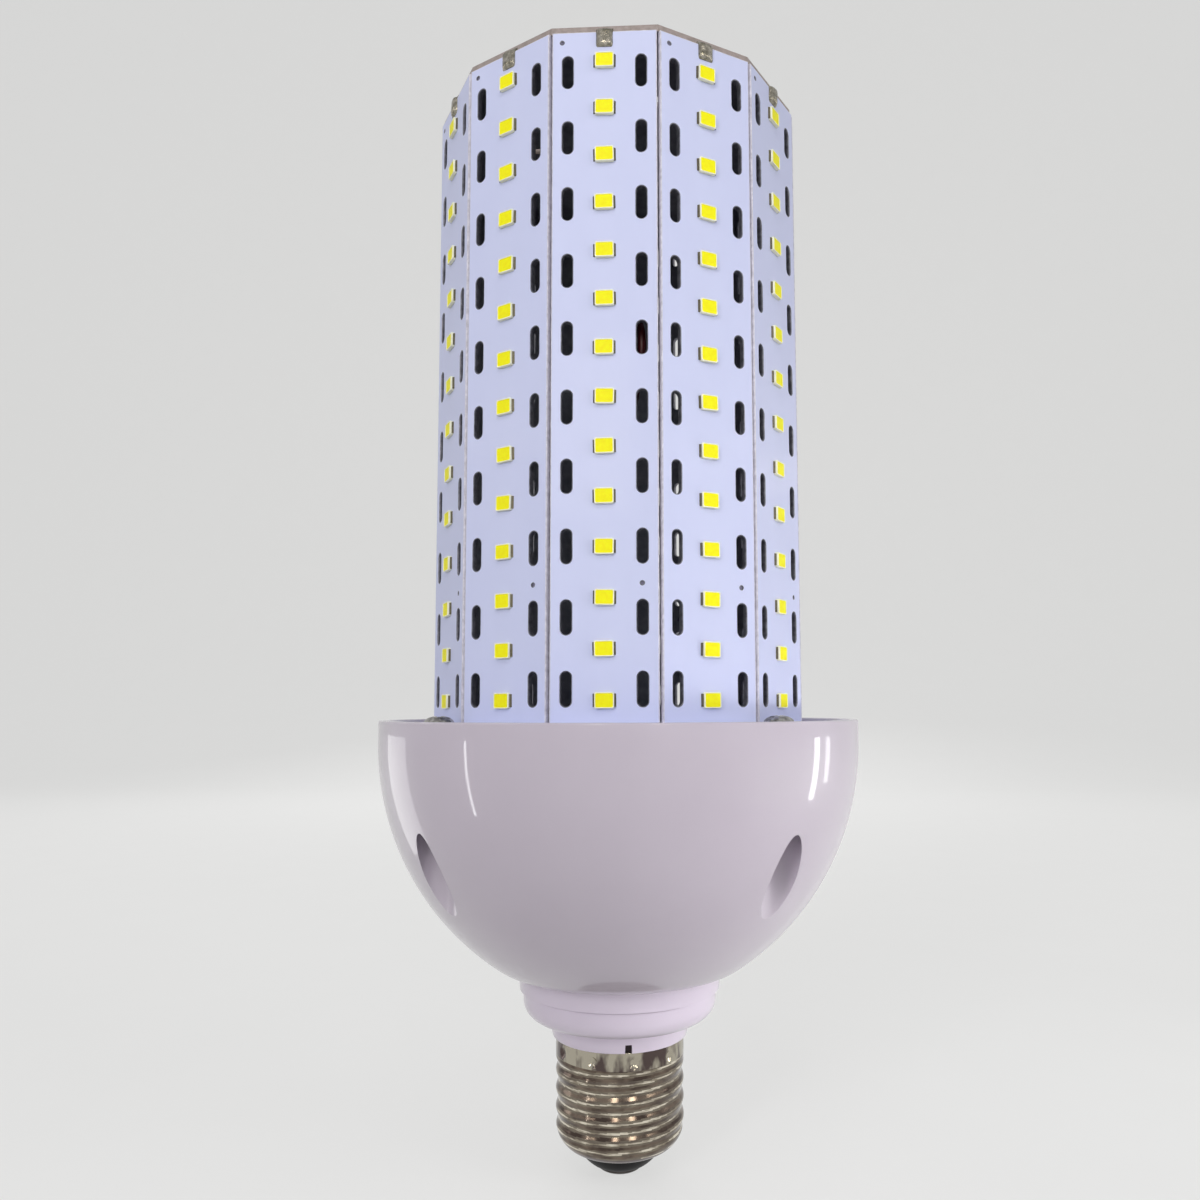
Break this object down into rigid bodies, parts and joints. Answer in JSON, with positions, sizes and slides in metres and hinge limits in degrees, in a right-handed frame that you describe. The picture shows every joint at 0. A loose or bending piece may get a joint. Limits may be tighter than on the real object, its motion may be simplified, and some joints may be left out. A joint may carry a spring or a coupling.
{
  "type": "corn led bulb",
  "caption": "Screw-cap lamp with a twelve-sided tower of slotted light strips on a white plastic bowl that holds its driver.",
  "frame": {"origin": "tip of the centre contact, on the lamp's axis", "axes": "+Z along the lamp's axis from the cap to the top plate; -Y out of light strip 1"},
  "size_m": [0.0982, 0.0982, 0.2186],
  "materials": {
    "cap_metal": "bright nickel plate",
    "insulator": "dark gloss",
    "contact": "plated",
    "white_plastic": "smooth gloss",
    "board_white": "white solder mask on aluminium",
    "led_yellow": "chip with a yellow window",
    "solder": "bright solder",
    "screw_steel": "nickel plated",
    "circuit_board": "green circuit board",
    "ferrite": "matt",
    "winding_tape": "yellow tape",
    "can_sleeve": "shrink sleeve",
    "film_box": "epoxy box",
    "copper": "lacquered copper",
    "black_plastic": "moulded",
    "resistor_body": "lacquered",
    "red_insulation": "soft insulation",
    "black_insulation": "soft insulation"
  },
  "bodies": {
    "root": {"screw_cap": "cap_metal", "cap_insulator": "insulator", "centre_contact": "contact", "cap_neck": "white_plastic", "driver_housing": "white_plastic", "plate_screws": "screw_steel", "base_plate": "board_white", "top_plate": "board_white", "top_chips": "led_yellow", "top_solder": "solder", "tab_solder": "solder", "driver_board": "circuit_board", "driver_screws": "screw_steel", "transformer_core": "ferrite", "transformer_coil": "winding_tape", "input_capacitor": "can_sleeve", "output_capacitor": "can_sleeve", "film_capacitor": "film_box", "filter_choke": "copper", "bridge_rectifier": "black_plastic", "fuse_resistor": "resistor_body", "controller_chip": "black_plastic", "contact_wire": "black_insulation", "shell_wire": "black_insulation", "lead_wire_red": "red_insulation", "lead_wire_black": "black_insulation", "led_strip_01": "board_white", "led_chips_01": "led_yellow", "led_strip_02": "board_white", "led_chips_02": "led_yellow", "led_strip_03": "board_white", "led_chips_03": "led_yellow", "led_strip_04": "board_white", "led_chips_04": "led_yellow", "led_strip_05": "board_white", "led_chips_05": "led_yellow", "led_strip_06": "board_white", "led_chips_06": "led_yellow", "led_strip_07": "board_white", "led_chips_07": "led_yellow", "led_strip_08": "board_white", "led_chips_08": "led_yellow", "led_strip_09": "board_white", "led_chips_09": "led_yellow", "led_strip_10": "board_white", "led_chips_10": "led_yellow", "led_strip_11": "board_white", "led_chips_11": "led_yellow", "led_strip_12": "board_white", "led_chips_12": "led_yellow"}
  },
  "joints": []
}
